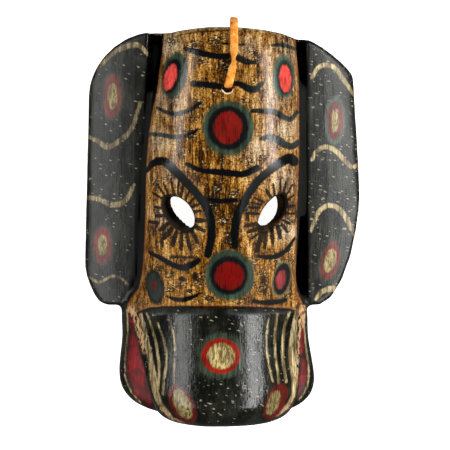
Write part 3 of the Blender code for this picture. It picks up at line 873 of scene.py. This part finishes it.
streak = cloud(per(0.9, 11), 2, 0.6)
grain = cloud(per(3.0, 34), 3, 0.55, 0.3)
mottle = cloud(per(10, 16), 3, 0.6)
salt = cloud(per(1.0, 1.8), 2, 0.6)
cluster = cloud(per(11, 8), 2, 0.5)
speck = cloud(per(1.5, 1.1), 2, 0.6)
squiggle = cloud(per(2.6, 1.5), 2, 0.5, 1.2)
flake = cloud(per(1.7, 5), 3, 0.6, 0.5)
dash = cloud(per(2.6, 1.1), 3, 0.6, 0.5)
waver = cloud(per(2.2, 2.2), 3, 0.6)
tilted = put("ShaderNodeMapping", (("Vector", place), ("Rotation", (0, 0, 0.3)))).outputs[0]
tilted = put("ShaderNodeMapping", (("Vector", tilted), ("Scale", per(5.6, 1.9)))).outputs[0]
cells = put("ShaderNodeTexVoronoi", (("Vector", tilted), ("Scale", 1.0)))
lot = put("ShaderNodeSeparateColor", ((0, cells.outputs["Color"]),)).outputs[0]

# the wood under its thin ochre: fine streaks from dark brown to cream
# the listed darker and paler places shift the wood's tone; some of the paler ones are painted
# highlight
tone = maths("MULTIPLY_ADD", mottle, 0.36, kept("tone_and_highlight"))
tone = maths("MULTIPLY_ADD", grain, 0.40, tone)
tone = maths("MULTIPLY_ADD", salt, 0.28, tone)
tone = maths("MULTIPLY_ADD", streak, 0.36, tone)
ochre = tones(
    tone,
    (0.60, srgb(32, 15, 0)),
    (0.66, srgb(94, 56, 6)),
    (0.71, srgb(146, 96, 26)),
    (0.76, srgb(180, 127, 50)),
    (0.84, srgb(230, 190, 122)),
)
beige = tones(
    tone,
    (0.60, srgb(52, 38, 28)),
    (0.68, srgb(128, 104, 80)),
    (0.74, srgb(176, 152, 122)),
    (0.84, srgb(226, 208, 178)),
)
# beige in those places: faded paint and painted highlight
ochre = blend(times(kept("faded_and_sheen"), 0.75), ochre, beige)
ochre = blend(times(soft_edge(flake, 0.60, 0.70), 0.4), ochre, srgb(232, 200, 148))
chalk = soft_edge(maths("MULTIPLY_ADD", kept("scuffed"), 0.16, squiggle), 0.68, 0.74)
ochre = blend(times(chalk, 0.6), ochre, srgb(236, 214, 164))
specks = times(soft_edge(speck, 0.55, 0.61), soft_edge(cluster, 0.42, 0.54))
ochre = blend(times(specks, 0.8), ochre, srgb(30, 16, 4))
scuff = soft_edge(maths("MULTIPLY_ADD", kept("scuffed"), 0.18, dash), 0.605, 0.645)
ochre = blend(times(scuff, 0.92), ochre, srgb(22, 16, 10))
line = maths("ABSOLUTE", maths("SUBTRACT", squiggle, 0.5))
line = maths("SUBTRACT", 1.0, soft_edge(line, 0.012, 0.030))
line = times(line, soft_edge(maths("MULTIPLY_ADD", kept("scuffed"), 0.35, mottle), 0.50, 0.58))
ochre = blend(times(line, 0.85), ochre, srgb(34, 20, 8))
worn_edge = maths("SUBTRACT", 1.0, soft_edge(kept("ochre_face"), 0.4, 2.8))
ochre = blend(times(worn_edge, 0.5), ochre, srgb(150, 86, 34))
# every paint is thinner or thicker from streak to streak
brush_load = maths("MULTIPLY_ADD", streak, 0.6, times(mottle, 0.4))
thickness = tones(brush_load, (0.38, (0.45, 0.45, 0.45, 1)), (0.62, (1.7, 1.7, 1.7, 1)))


def brushed(colour):
    return blend(1.0, colour, thickness, "MULTIPLY")


# the black of the ears and the muzzle, nicked down to pale wood
black = brushed(blend(soft_edge(mottle, 0.4, 0.6), srgb(15, 16, 11), srgb(30, 31, 24)))
# painted shade: the black in the grooves is darkened almost to nothing
black = blend(times(kept("groove"), 0.9), black, srgb(4, 4, 3))
nick = maths("MULTIPLY_ADD", waver, 0.9, cells.outputs["Distance"])
nick = maths("SUBTRACT", 1.0, soft_edge(nick, 0.58, 0.70))
share = maths("MULTIPLY_ADD", kept("scuffed"), 0.9, times(kept("speckled"), 0.36))
nick = times(nick, maths("LESS_THAN", lot, share))
black = blend(times(nick, 0.55), black, srgb(182, 174, 146))

# how far the edges of the paints stray, from steady to ragged
wobble = maths("MULTIPLY_ADD", waver, 1.6, -0.8)
feather = maths("MULTIPLY_ADD", streak, 2.4, maths("MULTIPLY_ADD", waver, 1.6, -2.0))
ragged = maths("MULTIPLY_ADD", streak, 7.0, maths("MULTIPLY_ADD", waver, 2.0, -4.5))


def inside(field, edge=0.4, unevenness=wobble):
    """1 where a field in mm is above 0, with the brush's waver along its edge."""
    return soft_edge(maths("ADD", field, unevenness), -edge, edge)


def outside(field, edge=0.4, unevenness=wobble):
    """1 where a field in mm is below 0, in the same way."""
    return maths("SUBTRACT", 1.0, inside(field, edge, unevenness))


# the paints, in the order they are brushed on
painted = blend(inside(kept("ochre_face"), 0.5), black, ochre)
depth = maths("MULTIPLY_ADD", mottle, 14.0, maths("ADD", kept("red_jowls"), -9.5))
crimson = brushed(blend(soft_edge(depth, -2.6, 2.0), srgb(42, 18, 14), srgb(138, 12, 18)))
crimson = blend(times(soft_edge(cluster, 0.46, 0.58), 0.6), crimson, srgb(54, 18, 14))
painted = blend(inside(kept("red_jowls"), 0.5), painted, crimson)
straw = brushed(blend(soft_edge(grain, 0.38, 0.62), srgb(108, 90, 58), srgb(192, 172, 128)))
tan_cover = times(outside(kept("tan_marks"), 0.6), soft_edge(flake, 0.30, 0.44))
tan_cover = times(tan_cover, kept("tan_share"))
painted = blend(tan_cover, painted, straw)
rubbed_wood = blend(soft_edge(flake, 0.42, 0.56), srgb(112, 76, 44), srgb(206, 166, 120))
worn_cover = times(outside(kept("worn_marks"), 1.0, feather), soft_edge(flake, 0.43, 0.50))
painted = blend(worn_cover, painted, rubbed_wood)
ink = brushed(srgb(4, 6, 7))
ink_cover = times(outside(kept("black_marks"), 0.6), soft_edge(flake, 0.22, 0.30))
# grey in the black marks on the forehead: thin ink and painted highlight
thin_ink_and_sheen = times(kept("thin_ink_and_sheen"), soft_edge(grain, 0.34, 0.52))
ink = blend(times(thin_ink_and_sheen, 0.8), ink, srgb(78, 84, 76))
painted = blend(ink_cover, painted, ink)
lash = brushed(srgb(6, 3, 1))
painted = blend(times(outside(kept("lash_marks"), 0.35), 0.95), painted, lash)
chipped = maths("SUBTRACT", 1.0, soft_edge(kept("chips"), 0.3, 0.85))
painted = blend(times(chipped, 0.95), painted, srgb(244, 230, 204))
cracks = times(soft_edge(streak, 0.57, 0.64), 0.55)
# painted sheen: the rims of the ovals go lighter teal along the grain, less where the varnish is
# matt
rim_sheen = times(soft_edge(grain, 0.50, 0.62), maths("MULTIPLY_ADD", kept("matt"), -0.15, 0.3))
for part, edge, unevenness in (("rim", 1.4, ragged), ("ring", 1.3, feather), ("core", 0.9, feather)):
    tint = brushed(kept(f"dot_{part}_colour", "Color"))
    if part == "rim":
        tint = blend(rim_sheen, tint, srgb(88, 112, 90))
    if part == "core":
        green = put("ShaderNodeSeparateColor", ((0, tint),)).outputs[1]
        strength = maths("MULTIPLY_ADD", soft_edge(green, 0.08, 0.2), 0.5, 0.2)
        tint = blend(times(soft_edge(flake, 0.46, 0.58), strength), tint, srgb(36, 36, 18))
    tint = blend(cracks, tint, srgb(26, 20, 14))
    painted = blend(inside(kept(f"dot_{part}"), edge, unevenness), painted, tint)

# bare wood in the hollow, painted shade on the walls of the eye holes and in the lace hole, and
# edges rubbed pale
bare = blend(soft_edge(grain, 0.3, 0.7), srgb(96, 66, 38), srgb(150, 112, 70))
bare = blend(times(soft_edge(streak, 0.5, 0.7), 0.6), bare, srgb(70, 44, 24))
covered = soft_edge(kept("under_sky"), 0.35, 0.65)
painted = blend(covered, bare, painted)
# dark brown over the hole walls: dark raw wood and painted shade
dark_wood_and_shade = blend(soft_edge(mottle, 0.4, 0.6), srgb(20, 12, 5), srgb(44, 27, 12))
painted = blend(kept("wall_shade"), painted, dark_wood_and_shade)
rubbed = soft_edge(maths("MULTIPLY_ADD", dash, 0.05, kept("bulge")), 0.075, 0.11)
rubbed = times(rubbed, soft_edge(kept("ochre_face"), -1.0, 1.0))
painted = blend(times(rubbed, 0.6), painted, srgb(150, 126, 92))

# a gloss varnish on the painted side alone
VARNISH_IOR = 1.36
varnish = maths("MULTIPLY_ADD", streak, 0.16, 0.07)
varnish = maths("MULTIPLY_ADD", kept("matt"), 0.20, varnish)
roughness = put("ShaderNodeMix", ((0, covered), (2, 0.85), (3, varnish))).outputs[0]
relief = maths("MULTIPLY_ADD", streak, 0.5, times(waver, 0.7))
bump = put("ShaderNodeBump", (("Height", relief), ("Distance", 0.3 * mm), ("Strength", 0.6)))
shader = nodes["Principled BSDF"]
links.new(painted, shader.inputs["Base Color"])
links.new(roughness, shader.inputs["Roughness"])
links.new(bump.outputs[0], shader.inputs["Normal"])
shader.inputs["IOR"].default_value = VARNISH_IOR
skin.materials.clear()
skin.materials.append(varnished)
skin.shade_smooth()
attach(mask, "root")
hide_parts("mask")

# ------------------------------------------------------------------ The lace
# A flat lace of undyed suede, knotted behind its hole, that goes out through the forehead, over
# the top of the head, back under the rim and up to the knot again. The mask hangs by it.
LACE_WIDTH = 6.0
LACE_THICKNESS = 1.7
LACE_CURL = -0.8  # how far its edges bow out of flat, to one side
LACE_SIDES = 14
ROUTE_STEPS = 14
TAIL_STEPS = 12
# x, y, z in mm and the twist in degrees
LACE_ROUTE = (
    (4.3, 97.1, 62, 0), (4.5, 97.9, 76, 0), (4.7, 98.3, 84.8, 0), (5.1, 99.8, 88.8, -4),
    (5.9, 102.8, 89.7, 2), (6.8, 107.2, 88.6, 6), (7.6, 112.0, 86.8, 26), (8.2, 115.6, 85.6, 66),
    (8.5, 118.8, 84.4, 72), (8.8, 123.9, 82.5, 30), (9.0, 133.4, 78.2, 2), (9.0, 142.6, 72.5, 4),
    (9.0, 148.9, 65, 0), (9.0, 151.1, 56, -6), (9.0, 150.2, 44, -8), (8.8, 147.9, 30, 0),
    (8.5, 147.2, 16, 4), (8.2, 147.3, 8, 0), (8.0, 144.5, 3.6, 0), (7.7, 135.9, 3.1, 0),
    (7.3, 126.4, 4, 0), (6.8, 119.9, 13, 4), (6.0, 112.9, 31, 0), (5.2, 106.1, 48, -6),
    (4.4, 99.9, 58.5, 0),
)
LACE_TAILS = (
    ((3.3, 96.1, 60, 0), (0.4, 94.4, 56.6, 10), (-1.2, 92.3, 51.6, 24), (-3.2, 89.8, 43.2, 40)),
    ((5.3, 96.6, 60, 0), (8.6, 95.8, 56.8, -10), (10.9, 94.6, 52.4, -22), (12.4, 93.2, 45.2, -30)),
)
KNOT_MIDDLE = (4.3, 97.1, 61.0)
KNOT_REACH = 1.65
KNOT_STRAND = (3.2, 1.7)
KNOT_STEPS = 90
KNOT_TWIST = 90.0


def strap_rings(line, twists, width, thickness, curl, across):
    """Rings of points round a flat strap along a line; across(i) is its flat direction."""
    rings = []
    run = np.gradient(line, axis=0)
    run /= np.linalg.norm(run, axis=1)[:, None]
    for i, (point, way, twist) in enumerate(zip(line, run, twists)):
        side = np.array(across(i), float)
        side -= way * (side @ way)
        side /= np.linalg.norm(side)
        up = np.cross(side, way)
        turn = math.radians(twist)
        side, up = (
            side * math.cos(turn) + up * math.sin(turn),
            up * math.cos(turn) - side * math.sin(turn),
        )
        ring = []
        for k in range(LACE_SIDES):
            angle = 2 * math.pi * k / LACE_SIDES
            # a rectangle with round edges, its long edges curled a little to one side
            x = math.copysign(abs(math.cos(angle)) ** 0.45, math.cos(angle)) * width / 2
            y = math.copysign(abs(math.sin(angle)) ** 0.6, math.sin(angle)) * thickness / 2
            y += curl * ((2 * x / width) ** 2 - 0.4)
            nap = noise.noise(Vector((i * 0.35, k * 0.9, width))) * 0.22
            ring.append(point + side * (x * (1 + nap * 0.25)) + up * (y + nap * 0.6))
        rings.append(ring)
    return rings


def add_strap(mesh, rings, closed=False):
    """Joins the rings into a strap, with capped ends unless it is a closed loop."""
    rings = [[mesh.verts.new(point * mm) for point in ring] for ring in rings]
    pairs = list(zip(rings, rings[1:]))
    if closed:
        pairs.append((rings[-1], rings[0]))
    else:
        mesh.faces.new(rings[0])
        mesh.faces.new(rings[-1])
    for low, high in pairs:
        for k in range(LACE_SIDES):
            m = (k + 1) % LACE_SIDES
            mesh.faces.new((low[k], low[m], high[m], high[k]))


def to_the_right(i):
    """The lace lies flat from side to side all along."""
    return (1, 0, 0)


lace_mesh = bmesh.new()
size = (LACE_WIDTH, LACE_THICKNESS, LACE_CURL)
for route, steps in ((LACE_ROUTE, ROUTE_STEPS), *((tail, TAIL_STEPS) for tail in LACE_TAILS)):
    line = brush_line(*route, steps=steps)
    add_strap(lace_mesh, strap_rings(line[:, :3], line[:, 3], *size, to_the_right))
knot_line = []
for t in np.linspace(0, 2 * math.pi, KNOT_STEPS, endpoint=False):
    loop = (math.sin(t) + 2 * math.sin(2 * t), math.cos(t) - 2 * math.cos(2 * t))
    knot_line.append((loop[0], loop[1] * 0.8, -math.sin(3 * t) * 1.1))
knot_line = np.array(knot_line) * KNOT_REACH + KNOT_MIDDLE
outwards = knot_line - KNOT_MIDDLE
knot_twists = np.full(KNOT_STEPS, KNOT_TWIST)
rings = strap_rings(knot_line, knot_twists, *KNOT_STRAND, 0.0, lambda i: outwards[i])
add_strap(lace_mesh, rings, closed=True)
bmesh.ops.recalc_face_normals(lace_mesh, faces=lace_mesh.faces)
lace_data = bpy.data.meshes.new("suede_lace")
lace_mesh.to_mesh(lace_data)
lace_mesh.free()
lace_data.shade_smooth()
lace = bpy.data.objects.new("suede_lace", lace_data)
scene.collection.objects.link(lace)

suede = bpy.data.materials.new("suede")
suede.use_nodes = True
nodes = suede.node_tree.nodes
links = suede.node_tree.links
place = put("ShaderNodeTexCoord").outputs["Object"]
fibre = cloud((1500, 420, 900), 3, 0.65, 0.6)
nap = cloud((260, 120, 200), 2, 0.5)
tone = maths("MULTIPLY_ADD", nap, 0.6, times(fibre, 0.6))
hide = tones(
    tone,
    (0.44, srgb(176, 80, 4)),
    (0.56, srgb(244, 140, 28)),
    (0.68, srgb(255, 178, 76)),
    (0.78, srgb(255, 222, 160)),
)
suede_bump = put("ShaderNodeBump", (("Height", fibre), ("Distance", 0.4 * mm), ("Strength", 0.7)))
shader = nodes["Principled BSDF"]
links.new(hide, shader.inputs["Base Color"])
links.new(suede_bump.outputs[0], shader.inputs["Normal"])
shader.inputs["Roughness"].default_value = 0.75
lace_data.materials.append(suede)
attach(lace, "root")
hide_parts("leather_lace")
